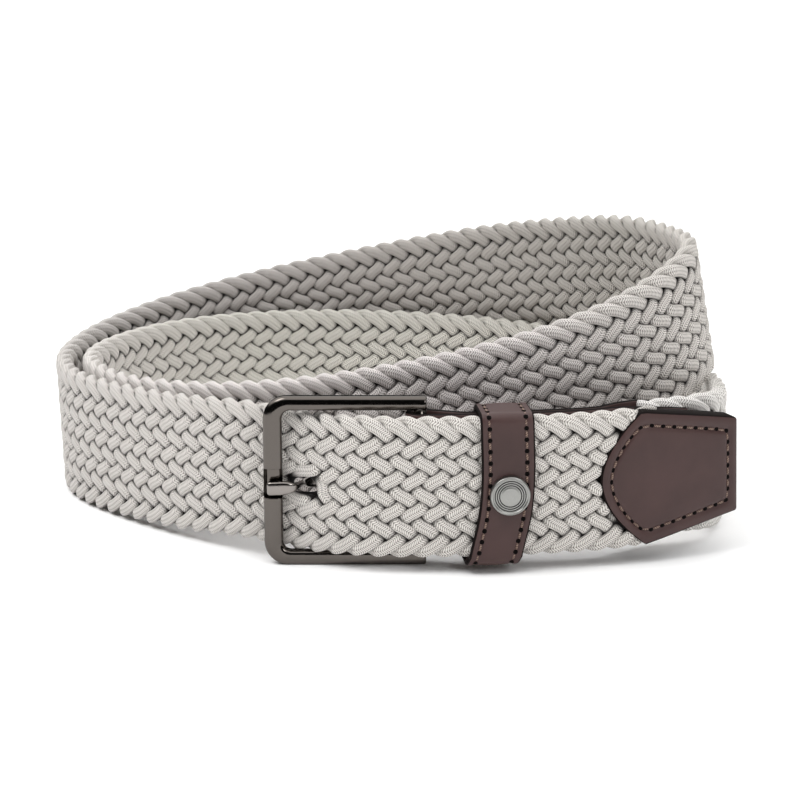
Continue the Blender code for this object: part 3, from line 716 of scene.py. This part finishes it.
def bendFrame(look):
    # a bar with rounded edges swept round three sides of the frame, wider across the front,
    # its front face cut back at the notch; the heel bar is a round pin between the arms' ends
    left = heel[0] + tab["heelRadius"] - buckle["length"] + 0.5 * buckle["frontBar"]
    right = heel[0] + tab["heelRadius"]
    top = 0.5 * belt["width"] + belt["sideGap"] + 0.5 * buckle["bar"]
    big = buckle["corner"] - 0.5 * buckle["bar"]
    notch, bends = 0.5 * buckle["notchHeight"], 19

    def arc(x, z, first):
        turn = np.radians(np.linspace(first, first + 90.0, bends))
        return np.stack((x + big * np.cos(turn), z + big * np.sin(turn)), axis=1)

    ends = buckle["endRound"] * np.array((0.0, 0.08, 0.3, 0.65, 1.0))
    arms = np.concatenate((right - ends, np.linspace(right - 3.0, left + big + 1.0, 9)))
    share = np.array((1.5, 1.2, 1.04, 1.0, 0.985, 0.955, 0.91, 0.86, 0.8, 0.6, 0.3, 0.0))
    share = np.concatenate((share, -share[-2::-1]))
    bar = np.stack((np.full(len(share), left), notch * share - buckle["notchDrop"]), axis=1)
    cut = np.clip((1.0 - np.abs(share)) / 0.12, 0.0, 1.0)
    cut = cut * cut * (3 - 2 * cut)
    line = np.concatenate((np.stack((arms, np.full(len(arms), top)), axis=1),
        arc(left + big, top - big, 90.0), bar, arc(left + big, big - top, 180.0),
        np.stack((arms[::-1], np.full(len(arms), -top)), axis=1)))
    before = len(arms) + bends
    dip = np.concatenate((np.zeros(before), cut, np.zeros(len(line) - before - len(cut))))
    fromEnd = right - line[:, 0]
    bend = np.clip(1.0 - fromEnd / buckle["endRound"], 0.0, 1.0)
    shrink = buckle["endRound"] * (1.0 - np.sqrt(1.0 - bend ** 2))
    arm = np.clip((line[:, 0] - left) / big, 0.0, 1.0)
    ahead = unit(np.gradient(line, axis=0))
    outward = np.stack((ahead[:, 1], -ahead[:, 0]), axis=1)
    wide = 0.5 * (buckle["frontBar"] + (buckle["bar"] - buckle["frontBar"]) * arm) - shrink
    deep = 0.5 * buckle["depth"] - shrink
    armPower = np.where(line[:, 1] > 0.0, buckle["topPower"], buckle["footPower"])
    power = buckle["power"] + (armPower - buckle["power"]) * arm
    ringWide, ringDeep = squircle(wide, deep, power[:, None], 48)
    front = np.clip(-1.5 * ringDeep / deep[:, None], 0.0, 1.0)
    # the upper arm and its corner are bevelled along the outer edge
    lean = np.clip((line[:, 1] / top - 0.45) / 0.4, 0.0, 1.0)
    ringDeep = ringDeep + buckle["bevel"] * lean[:, None] * front * np.clip(ringWide, 0.0, None)
    # the lower arm's face leans back a little
    foot = np.clip((-line[:, 1] / top - 0.45) / 0.4, 0.0, 1.0)
    ringDeep = ringDeep - buckle["footLean"] * foot[:, None] * front * ringWide
    ringDeep = ringDeep + buckle["notchDepth"] * dip[:, None] * front
    rings = np.stack((line[:, 0:1] + outward[:, 0:1] * ringWide, heel[1] + ringDeep,
        heel[2] + line[:, 1:2] + outward[:, 1:2] * ringWide), axis=-1)
    sweep("frame_bar", rings, [look], np.arange(len(line)), np.arange(ringWide.shape[1] + 1.0),
        slot="buckle_frame", stands=("buckle_frame",))
    along = np.linspace(-top, top, 9)
    turn = fullTurn(24)
    pin = np.stack(np.broadcast_arrays(heel[0] + tab["heelRadius"] * np.cos(turn)[None, :],
        heel[1] + tab["heelRadius"] * np.sin(turn)[None, :], heel[2] + along[:, None]), axis=-1)
    sweep("heel_pin", pin, [look], along, np.arange(25.0), slot="buckle_frame")


def bendProng(look):
    # a strip curled round the heel bar that runs behind the strap, bends through its hole and
    # lies in the notch; across and back in millimetres from the heel bar's middle
    curl = tab["heelRadius"] + 0.9
    turn = np.radians(np.linspace(-135.0, 95.0, 24))
    start = np.stack((curl * np.cos(turn), curl * np.sin(turn)), axis=1)
    rest = np.array(((-5.0, 2.7), (-11.0, 2.5), (-17.0, 2.7), (-22.0, 3.3), (-25.6, 3.5),
        (-27.9, 2.6), (-29.3, 0.8), (-30.6, -0.75), (-32.6, -1.15), (-36.7, -1.1)))
    rows = np.concatenate((start, rest))
    knots = runAlong(rows)
    at = np.linspace(0.0, knots[-1], 150)
    line = splineThrough(knots, rows, at)
    ahead = unit(np.gradient(line, axis=0))
    grow = np.clip((at - knots[24]) / 6.0, 0.0, 1.0)
    fromTip = knots[-1] - at
    thick = 0.5 * (buckle["stripThick"] + (buckle["prongThick"] - buckle["stripThick"]) * grow)
    bent = np.clip((line[:, 0] + buckle["prongNarrowFrom"]) / buckle["prongNarrowOver"], 0.0, 1.0)
    bent = np.minimum(bent, np.clip((-buckle["prongWideFrom"] - line[:, 0]) / 4.0, 0.5, 1.0))
    tall = 0.5 * buckle["prongTall"] * np.sqrt(1.0 - 0.92 * bent ** 2)
    roundness = np.sqrt(np.clip(1.0 - (1.0 - np.clip(fromTip / 0.9, 0.0, 1.0)) ** 2, 0.02, 1.0))
    tall = tall - 0.5 * (1.0 - roundness)
    thick = thick - 0.35 * (1.0 - roundness)
    ringTall, ringThick = squircle(tall, thick, buckle["prongPower"], 32)
    drop = heel[2] - buckle["prongDrop"] * np.clip(-line[:, 0] / 36.0, 0.0, 1.0)
    rings = np.stack((heel[0] + line[:, 0:1] + ahead[:, 1:2] * ringThick,
        heel[1] + line[:, 1:2] - ahead[:, 0:1] * ringThick, drop[:, None] + ringTall), axis=-1)
    sweep("prong_strip", rings, [look], at, np.arange(ringTall.shape[1] + 1.0), slot="prong",
        stands=("prong",))


bendFrame(gunmetalLook("black_nickel_plate", 0.12, buckle["face"]))
bendProng(gunmetalLook("black_nickel_plate_rubbed", 0.18, buckle["tongue"]))
print("buckle bent")

# Leather

leather = {
    "deep": "#3d2b29",
    "worn": "#4a3634",
    "edge": "#120c0b",
    "thread": "#93796b",
    # painted shade in the grooves of the thread's twist
    "threadDark": "#4a3930",
    "hole": "#0a0605",
}


def leatherLook():
    # aniline calf, pressed smooth: satin, with a slow change of tone and a faint grain of about
    # 0.6 mm, coarser than the real one so that it shows
    look, shader = newLook("smooth_calf_leather", {"Roughness": 0.42, "Specular IOR Level": 0.28})
    place = addNode(look, "TexCoord")
    cloud = addNode(look, "TexNoise", {"Vector": place.outputs["Object"], "Scale": 75.0,
        "Detail": 3.0})
    grain = addNode(look, "TexVoronoi", {"Vector": place.outputs["Object"], "Scale": 1600.0},
        feature="F1")
    pores = addNode(look, "TexNoise", {"Vector": place.outputs["Object"], "Scale": 900.0,
        "Detail": 5.0})
    tone = addNode(look, "MapRange", {0: cloud, 1: 0.3, 2: 0.7})
    colour = addNode(look, "Mix", {"Factor": tone, 6: linear(leather["deep"]),
        7: linear(leather["worn"])}, data_type="RGBA")
    relief = addNode(look, "Math", {0: grain, 1: 0.5, 2: pores}, operation="MULTIPLY_ADD")
    bump = addNode(look, "Bump", {"Height": relief, "Strength": 0.22, "Distance": 0.00006})
    shine = addNode(look, "MapRange", {0: cloud, 1: 0.3, 2: 0.7, 3: 0.36, 4: 0.48})
    feed(look, shader, {"Base Color": colour.outputs[2], "Roughness": shine, "Normal": bump})
    return look


def edgeLook():
    # the cut edge sealed with dark edge paint, slightly uneven
    look, shader = newLook("edge_paint", {"Roughness": 0.75, "Specular IOR Level": 0.1,
        "Base Color": linear(leather["edge"])})
    roughen(look, shader, 500.0, 2.0, 0.25, 0.0001)
    return look


def threadLook():
    # bonded polyester sewing thread: satin, with its two-ply twist every 0.9 mm and painted shade
    # in the grooves between the plies
    look, shader = newLook("sewing_thread", {"Roughness": 0.5,
        "Base Color": linear(leather["thread"])})
    uv = addNode(look, "UVMap", uv_map="millimetres")
    parts = addNode(look, "SeparateXYZ", {0: uv})
    twist = addNode(look, "Math", {0: parts.outputs["X"], 1: 1.1, 2: parts.outputs["Y"]},
        operation="MULTIPLY_ADD")
    turns = addNode(look, "Math", {0: twist, 1: 4 * math.pi}, operation="MULTIPLY")
    wave = addNode(look, "Math", {0: turns}, operation="SINE")
    shade = addNode(look, "MapRange", {0: wave, 1: -1.0, 2: 1.0})
    colour = addNode(look, "Mix", {"Factor": shade, 6: linear(leather["threadDark"]),
        7: linear(leather["thread"])}, data_type="RGBA")
    bump = addNode(look, "Bump", {"Height": shade, "Strength": 0.6, "Distance": 0.0001})
    feed(look, shader, {"Base Color": colour.outputs[2], "Normal": bump})
    return look


def holeLook():
    # the awl holes that the thread goes into, in shade
    look, shader = newLook("awl_hole", {"Roughness": 0.9, "Specular IOR Level": 0.1})
    place = addNode(look, "TexCoord")
    torn = addNode(look, "TexNoise", {"Vector": place.outputs["Object"], "Scale": 2500.0})
    colour = addNode(look, "Mix", {"Factor": torn, 6: linear("#050303"),
        7: linear(leather["hole"])}, data_type="RGBA")
    feed(look, shader, {"Base Color": colour.outputs[2]})
    return look


calf, edgePaint, thread, awlHole = leatherLook(), edgeLook(), threadLook(), holeLook()

stitch = {
    "threadRadius": 0.3,
    "rise": 0.15,
    "holeRadius": 0.56,
    "holeStretch": 1.35,
    "margin": 0.2,
}


def sew(name, holes, outward, slot, closed=True):
    # a thread arched from each hole to the next, and a dark lens of painted shade at each hole
    kept = slice(None) if closed else slice(-1)
    share = np.linspace(stitch["margin"], 1.0 - stitch["margin"], 9)

    def between(values):
        follow = np.roll(values, -1, axis=0)[kept, None]
        return values[kept, None] * (1 - share)[:, None] + follow * share[:, None]

    normal = unit(between(outward))
    arch = (stitch["rise"] + 0.2) * np.sin(np.pi * (share - share[0]) / (share[-1] - share[0]))
    line = between(holes) + normal * (arch - 0.2)[:, None]
    ahead = unit(np.gradient(line, axis=1))
    across = unit(np.cross(ahead, normal))
    around = fullTurn(8)
    thick = stitch["threadRadius"] * (0.55 + 0.45 * np.sin(np.pi * np.linspace(0, 1, 9)) ** 0.5)
    rings = (line[:, :, None] + across[:, :, None] * np.cos(around)[:, None] * thick[:, None, None]
        + np.cross(across, ahead)[:, :, None] * np.sin(around)[:, None] * thick[:, None, None])
    toNext = np.roll(holes, -1, axis=0) - holes
    alongSeam = np.linalg.norm(toNext[kept], axis=1)[:, None] * share
    makeTubes(name + "_threads", rings, [thread], alongSeam, np.arange(9) / 8.0, slot=slot)
    # holes: a low dark lens of painted shade, longer across the seam than along it
    side = unit(np.cross(unit(toNext), outward))
    run = np.cross(outward, side)
    radius = stitch["holeRadius"] * np.array((0.6, 1.0, 0.9))
    rise = np.array((0.2, 0.12, -0.3))
    ring = (holes[:, None, None] + outward[:, None, None] * rise[:, None, None]
        + (run[:, None, None] * np.cos(around)[:, None] + side[:, None, None]
        * np.sin(around)[:, None] * stitch["holeStretch"]) * radius[:, None, None])
    makeTubes(name + "_holes", ring, [awlHole], np.zeros((len(holes), 3)), np.arange(9) / 8.0,
        slot=slot)


def tipHalfHeight(fromEnd):
    # half the leather's height, growing evenly from its end to its mouth
    straight = tip["length"] - tip["mouth"]
    share = np.clip(fromEnd / straight, 0.0, 1.0)
    return 0.5 * (tip["endWidth"] + (tip["mouthWidth"] - tip["endWidth"]) * share)


def tipDistances(at, height):
    # distance from the outline in units of the stitches' inset: 0 at the edge, 1 at the seam,
    # the smallest of the distances to mouth, end and long edges, softly blended; and the plain
    # distance to the nearest of them
    share = height / (0.5 * belt["width"])
    fromEnd = strapLine["length"] - tip["endLean"] * share - at
    mouth = tip["length"] - mouthBack(share)
    slope = 1.9 * tip["mouth"] * np.abs(share) ** 0.9 / (0.5 * belt["width"])
    toMouth = (mouth - strapLine["length"] + at) / np.sqrt(1 + slope ** 2)
    toSide = tipHalfHeight(strapLine["length"] - at) - np.abs(height)
    distances = np.stack((toMouth / tip["mouthInset"], toSide / tip["sideInset"],
        fromEnd / tip["endInset"]))
    sharp = 7.0
    soft = -np.log(np.sum(np.exp(-sharp * distances), axis=0)) / sharp
    edge = np.min(np.stack((toMouth, toSide, fromEnd)), axis=0)
    return np.clip(soft, 0.0, None), edge


def tipFace(at, height):
    # how far the leather's face stands from the strap's middle: round at the edges, pressed in
    # along the seam and filled out inside it
    seam, edge = tipDistances(at, height)
    full = 0.5 * tip["thickness"]
    bend = np.clip(1.0 - edge / tip["edgeRound"], 0.0, 1.0)
    rounded = tip["edgeRound"] * (1.0 - np.sqrt(1.0 - bend ** 2 * 0.98))
    groove = tip["groove"] * np.exp(-((seam - 1.0) / 0.16) ** 2)
    inside = tip["puff"] * (1.0 - np.exp(-np.clip(seam - 1.0, 0.0, None) / 0.5))
    margin = 0.14 * np.exp(-((seam - 0.5) / 0.25) ** 2)
    return full - rounded - groove + inside + margin


def cutTip():
    # a grid of rows from mouth to end and shares of the height, lifted by tipFace to the front
    # and to the back of the strap, and joined by flat walls at the mouth and the end
    spread = np.linspace(-1.0, 1.0, 81)
    shares = np.sin(0.5 * np.pi * spread) * 0.35 + spread * 0.65
    rows = np.linspace(0.0, 1.0, 91)
    rows = rows - 0.13 * np.sin(2 * np.pi * rows)
    length = strapLine["length"]
    mouth = length - tip["length"] + mouthBack(shares)
    corner = tip["corner"]
    high = np.abs(shares) * 0.5 * tip["endWidth"]
    over = np.clip(high - (0.5 * tip["endWidth"] - corner), 0.0, corner)
    end = length - tip["endLean"] * shares * 0.7
    end = end - (corner - np.sqrt(corner ** 2 - over ** 2 * 0.97))
    at = mouth[None, :] + (end - mouth)[None, :] * rows[:, None]
    height = shares[None, :] * tipHalfHeight(length - at)
    face = tipFace(at, height)
    middle, along, up, out = standAt(strapLine, at)
    base = middle + up * height[..., None]
    front, back = base + out * face[..., None], base - out * face[..., None]
    rings = np.concatenate((front, back[:, ::-1]), axis=1)
    count, size = rings.shape[:2]
    quads, rowOf, columnOf = gridCells(count, size, False, True)
    j = np.arange(len(shares) - 1)
    strip = np.stack((j, j + 1, size - 2 - j, size - 1 - j), axis=1)
    ends = [strip[:, ::-1], (count - 1) * size + strip]
    run = np.concatenate((shares, shares[::-1])) * 17.0
    uv = np.stack((rows[rowOf] * tip["length"], run[columnOf % size]), axis=-1)
    edge = tipDistances(at, height)[1]
    edgeRing = np.concatenate((edge, edge[:, ::-1]), axis=1)
    cells = np.minimum(edgeRing[rowOf[:, 0], columnOf[:, 0]],
        edgeRing[rowOf[:, 2], columnOf[:, 2] % size])
    across = columnOf[:, 0] % len(shares) == len(shares) - 1
    lookOf = ((cells < tip["paint"]) | across).astype(int)
    lookOf = np.concatenate((lookOf, np.ones(2 * len(j), dtype=int)))
    uv = np.concatenate((uv, np.zeros((2 * len(j), 4, 2))))
    makePiece("tip_cover", rings, np.concatenate([quads] + ends), [calf, edgePaint], uv=uv,
        lookOf=lookOf, slot="tip_leather", stands=("tip_leather",))


def sewTip():
    # holes along the line where the seam distance is 1, found outward from the tip's middle
    centre = strapLine["length"] - 16.5
    turn = fullTurn(720)
    reach = np.linspace(1.0, 19.0, 600)
    at = centre + reach[None, :] * np.cos(turn)[:, None]
    height = reach[None, :] * np.sin(turn)[:, None]
    seam = tipDistances(at, height)[0]
    index = np.argmax(seam < 1.0, axis=1)
    radius = reach[index]
    loopAt, loopHeight = centre + radius * np.cos(turn), radius * np.sin(turn)
    step = np.hypot(np.diff(loopAt, append=loopAt[0]), np.diff(loopHeight, append=loopHeight[0]))
    run = np.concatenate(([0.0], np.cumsum(step)))
    count = round(run[-1] / tip["stitch"])
    places = np.linspace(0.0, run[-1], count, endpoint=False)
    at = np.interp(places, run, np.append(loopAt, loopAt[0]))
    height = np.interp(places, run, np.append(loopHeight, loopHeight[0]))
    face = tipFace(at, height)
    middle, along, up, out = standAt(strapLine, at)
    for side, name in ((1, "tip_front"), (-1, "tip_back")):
        holes = middle + up * height[:, None] + out * (side * face)[:, None]
        sew(name, holes[::side], side * out[::side], "tip_leather")


cutTip()
sewTip()
print("tip cut and sewn:", "stitches", tip["stitch"], "mm apart")

keeper = {
    "width": 12.8,
    "wall": 1.3,
    "fromEnd": 59.2,
    "corner": 2.2,
    "ease": 0.7,
    "pushUp": (-0.06, 0.08, 0.35, 0.65, 1.05),
    "push": (-0.30, -0.16, 0.00, 0.03, -0.02),
    "seamInset": 2.0,
    "groove": 0.18,
    "stitch": 2.75,
}


def keeperLoop():
    # the band's middle line, a rounded rectangle round the strap and tab: over the top, down the
    # back and up the front; each row is distance out, height and the outward direction
    middle, along, up, out = standAt(strapLine, strapLine["length"] - keeper["fromEnd"])
    front = 0.5 * belt["thickness"] + belt["fitGap"]
    back = -(behindFrontRun() + 0.5 * tab["ply"] + belt["fitGap"] + tab["ply"] + belt["fitGap"]
        + keeper["ease"])
    tall = 0.5 * belt["width"] + belt["fitGap"]
    inner = keeper["corner"] - keeper["wall"]
    radius = inner + 0.5 * keeper["wall"]
    corners = np.array(((front, tall), (back, tall), (back, -tall), (front, -tall)))
    centres = corners - np.copysign(inner, corners)
    share = np.linspace(0.0, 1.0, 26)[1:-1, None]
    pieces = []
    for number, centre in enumerate(centres):
        turn = np.radians(90.0 * number + np.linspace(0.0, 90.0, 9))
        normal = np.stack((np.cos(turn), np.sin(turn)), axis=1)
        pieces.append(np.concatenate((centre + radius * normal, normal), axis=1))
        ahead = math.radians(90.0 * (number + 1))
        direction = np.array((math.cos(ahead), math.sin(ahead)))
        line = centre * (1 - share) + centres[(number + 1) % 4] * share + radius * direction
        pieces.append(np.concatenate((line, np.broadcast_to(direction, line.shape)), axis=1))
    loop = np.concatenate(pieces)
    push = np.interp(0.5 + loop[:, 1] / belt["width"], keeper["pushUp"],
        keeper["push"]) * keeper["width"]
    return loop, push, middle, along, up, out


def smoothed(values, times):
    # each value averaged with its two neighbours round a closed line
    for _ in range(times):
        values = 0.25 * np.roll(values, 1) + 0.5 * values + 0.25 * np.roll(values, -1)
    return values


def wrapKeeper():
    # a flat profile with rolled edges, a raised middle and two pressed seams, carried round
    # the band's middle line
    loop, push, middle, along, up, out = keeperLoop()
    push = smoothed(push, 12)
    half, wall = 0.5 * keeper["width"], 0.5 * keeper["wall"]
    y = np.concatenate(([-1.0, -0.992, -0.97, -0.935], np.linspace(-0.89, 0.89, 37),
        [0.935, 0.97, 0.992, 1.0])) * half
    edge = half - np.abs(y)
    bend = np.clip(1.0 - edge / 0.45, 0.0, 1.0)
    outer = wall - 0.45 * (1.0 - np.sqrt(1.0 - bend ** 2 * 0.98))
    outer = outer - keeper["groove"] * np.exp(-((edge - keeper["seamInset"]) / 0.4) ** 2)
    outer = outer + 0.12 * np.exp(-((edge - 1.0) / 0.5) ** 2)
    outer = outer + 0.15 * np.clip(1.0 - (np.abs(y) / (half - 2.4)) ** 2, 0.0, None)
    inner = -wall + 0.2 * bend
    side = np.concatenate((y, y[::-1]))
    rise = np.concatenate((outer, inner[::-1]))
    normal = loop[:, 2:3] * out + loop[:, 3:4] * up
    line = middle + loop[:, 0:1] * out + loop[:, 1:2] * up + push[:, None] * along
    rings = line[:, None] + normal[:, None] * rise[:, None] + along * side[:, None]
    fromSide = np.append(np.concatenate((edge, edge[::-1])), edge[0])

    def lookOf(row, column):
        return ((fromSide[column] < 0.42) & (fromSide[column + 1] < 0.5)).astype(int)

    run = runAlong(line)
    run = np.append(run, run[-1] + 1.0)
    sweep("keeper_band", rings, [calf, edgePaint], run, np.append(side, side[0]), closeRows=True,
        lookOf=lookOf, slot="keeper", stands=("keeper",))
    # two seams all round the band, from the middle of its underside
    height = wall - keeper["groove"] + 0.02
    order = np.roll(np.arange(len(loop)), 9 + 24 + 12)
    for sign, name in ((-1.0, "keeper_left"), (1.0, "keeper_right")):
        seamLine = (line + normal * height + along * (sign * (half - keeper["seamInset"])))[order]
        seamRun = runAlong(seamLine)
        count = round(seamRun[-1] / keeper["stitch"])
        places = np.linspace(0.0, seamRun[-1], count)
        holes = readAlong(seamRun, seamLine, places)
        outs = unit(readAlong(seamRun, normal[order], places))
        sew(name, holes, outs, "keeper", closed=False)


def foldTab():
    # one strip folded round the heel bar: its two plies and the fold as rings up the strip,
    # with a slot cut through the fold for the prong
    tall, slotHalf = 0.5 * belt["width"], 0.5 * tab["slotHeight"]
    share = np.array((0.45, 0.8, 1.0, 1.0, 1.0, 1.0, 0.8, 0.45))
    halves = 0.5 * tab["ply"] * share
    lengths = np.concatenate((np.linspace(tab["length"], tab["length"] - tab["lap"], 14),
        np.linspace(tab["length"] - tab["lap"] - 2.0, tab["close"], 20),
        tab["close"] * np.linspace(0.9, 0.1, 9)))
    start = strapLine["length"] - belt["heelFromEnd"]
    fold = np.radians(np.linspace(0.0, 180.0, 25))
    middle, along, up, out = standAt(strapLine, np.array(start))
    radius = tab["heelRadius"] + tab["heelGap"] + 0.5 * tab["ply"]
    foldOut = out * np.cos(fold)[:, None] - along * np.sin(fold)[:, None]
    foldLine = heel + np.array((0.0, 0.0, middle[2] - heel[2])) + foldOut * radius
    point, ahead, up, outward = standAt(strapLine, start + lengths)
    farPly = behindFrontRun() + tabOpening(lengths) * 2
    line = np.concatenate((point - outward * behindFrontRun(), foldLine,
        (point - outward * farPly[:, None])[::-1]))
    outward = np.concatenate((outward, foldOut, -outward[::-1]))
    near = np.concatenate((lengths, np.zeros(len(fold)), lengths[::-1]))
    edge = tall - tab["foldEase"] * np.clip(1.0 - near / tab["close"], 0.0, 1.0)
    far = np.clip((near - tab["length"] + tab["narrowOver"]) / tab["narrowOver"], 0.0, 1.0)
    edge = edge - tab["endNarrow"] * far ** 1.3
    heights = np.stack((-edge, 0.15 - edge, 0.5 - edge, -slotHalf + 0 * edge, slotHalf + 0 * edge,
        edge - 0.5, edge - 0.15, edge), axis=1)
    upward = np.array((0.0, 0.0, 1.0))
    front = line[:, None] + upward * heights[..., None] + outward[:, None] * halves[:, None]
    back = line[:, None] + upward * heights[..., None] - outward[:, None] * halves[:, None]
    rings = np.concatenate((front, back[:, ::-1]), axis=1)
    rows, size = rings.shape[:2]
    quads, rowOf, columnOf = gridCells(rows, size, False, True)
    first, last, cell = len(lengths) - 6, len(lengths) + len(fold) + 5, 3
    inSlot = (rowOf[:, 0] >= first) & (rowOf[:, 0] < last)
    inSlot &= (columnOf[:, 0] == cell) | (columnOf[:, 0] == size - 2 - cell)
    wall = np.array((cell, cell + 1, size - 2 - cell, size - 1 - cell))
    walls = np.stack((first * size + wall, (last * size + wall)[::-1]))
    i = np.arange(first, last)[:, None] * size
    sides = [i + np.array((cell, size + cell, 2 * size - 1 - cell, size - 1 - cell)),
        i + np.array((cell + 1, size - 2 - cell, 2 * size - 2 - cell, size + cell + 1))]
    run = runAlong(line)
    acrossMm = np.append(np.concatenate((heights[0], heights[0][::-1])), heights[0][0])
    uv = np.stack((run[rowOf], acrossMm[columnOf]), axis=-1)[~inSlot]
    edgeCells = np.isin(columnOf[:, 0], (0, 6, 7, 8, 14, 15))[~inSlot]
    extra = np.concatenate([walls] + sides)
    allQuads = np.concatenate((quads[~inSlot], extra))
    uv = np.concatenate((uv, np.zeros((len(extra), 4, 2))))
    lookOf = np.concatenate((edgeCells.astype(int), np.ones(len(extra), dtype=int)))
    caps = endCaps(rows, size)
    makePiece("tab_fold", rings, allQuads, [calf, edgePaint], uv=uv, caps=caps, lookOf=lookOf,
        slot="buckle_tab", stands=("buckle_tab",))


wrapKeeper()
foldTab()
print("keeper wrapped, tab folded")

stud = {
    "radius": 4.8,
    "thickness": 1.5,
    "side": 0.5,
    "drop": 0.9,
    "metal": "#949491",
    "grooveColour": "#1d1b1a",
    "groove": 0.11,
    "line": 0.12,
}


def studLook():
    # turned and satin-brushed steel: fine rings left by the lathe
    look, shader = newLook("lathe_turned_steel",
        {"Metallic": 1.0, "Roughness": 0.32, "Base Color": linear(stud["metal"])})
    uv = addNode(look, "UVMap", uv_map="millimetres")
    stretch = addNode(look, "Mapping", {"Vector": uv, "Scale": (1.0 / stud["line"], 0.6, 1.0)})
    scratch = addNode(look, "TexNoise", {"Vector": stretch, "Scale": 1.0, "Detail": 3.0})
    rough = addNode(look, "MapRange", {0: scratch, 1: 0.3, 2: 0.7, 3: 0.25, 4: 0.42})
    bump = addNode(look, "Bump", {"Height": scratch, "Strength": 0.25, "Distance": 0.00004})
    feed(look, shader, {"Roughness": rough, "Normal": bump})
    return look


def grooveLook():
    # a near-black, fairly smooth colour laid in the stud's grooves
    look, shader = newLook("dark_groove_colour", {"Roughness": 0.35,
        "Base Color": linear(stud["grooveColour"])})
    roughen(look, shader, 900.0, 2.0, 0.2, 0.00005)
    return look


def turnStud():
    # a profile of radius and rise turned round the stud's axis: flat middle, plain ring, rim
    middle, along, up, out = standAt(strapLine, strapLine["length"] - keeper["fromEnd"])
    face = 0.5 * belt["thickness"] + 2 * belt["fitGap"] + keeper["wall"]
    base = middle + out * face + along * stud["side"] - up * stud["drop"]
    inner = np.array(((0.02, 0.84), (0.20, 0.84), (0.38, 0.84), (0.445, 0.83), (0.47, 0.78)))
    share = np.linspace(0.49, 0.83, 35)
    groove = 0.5 + 0.5 * np.cos(2 * np.pi * (share - 0.66) / 0.11)
    ringed = np.stack((share, 0.78 - stud["groove"] / stud["thickness"] * groove ** 3), axis=1)
    outer = np.array(((0.85, 0.77), (0.865, 0.83), (0.885, 0.91), (0.92, 0.955), (0.955, 0.93),
        (0.985, 0.84), (1.0, 0.68), (1.0, -0.2), (0.02, -0.2)))
    profile = np.concatenate((inner, ringed, outer))
    turn = fullTurn(72)
    radius = stud["radius"] * profile[:, 0:1]
    rings = (base + out * (stud["thickness"] * profile[:, 1])[:, None, None]
        + along * (radius * np.cos(turn))[..., None] + up * (radius * np.sin(turn))[..., None])
    darkGroove = np.concatenate((np.zeros(len(inner)), groove > 0.3, np.zeros(len(outer))))

    def lookOf(row, column):
        return ((darkGroove[row] + darkGroove[row + 1]) > 1.5).astype(int)

    sweep("stud_disc", rings, [studLook(), grooveLook()], profile[:, 0] * stud["radius"],
        np.linspace(0.0, 2 * np.pi, 73), lookOf=lookOf, slot="keeper_stud",
        stands=("keeper_stud",))


turnStud()
print("stud turned")
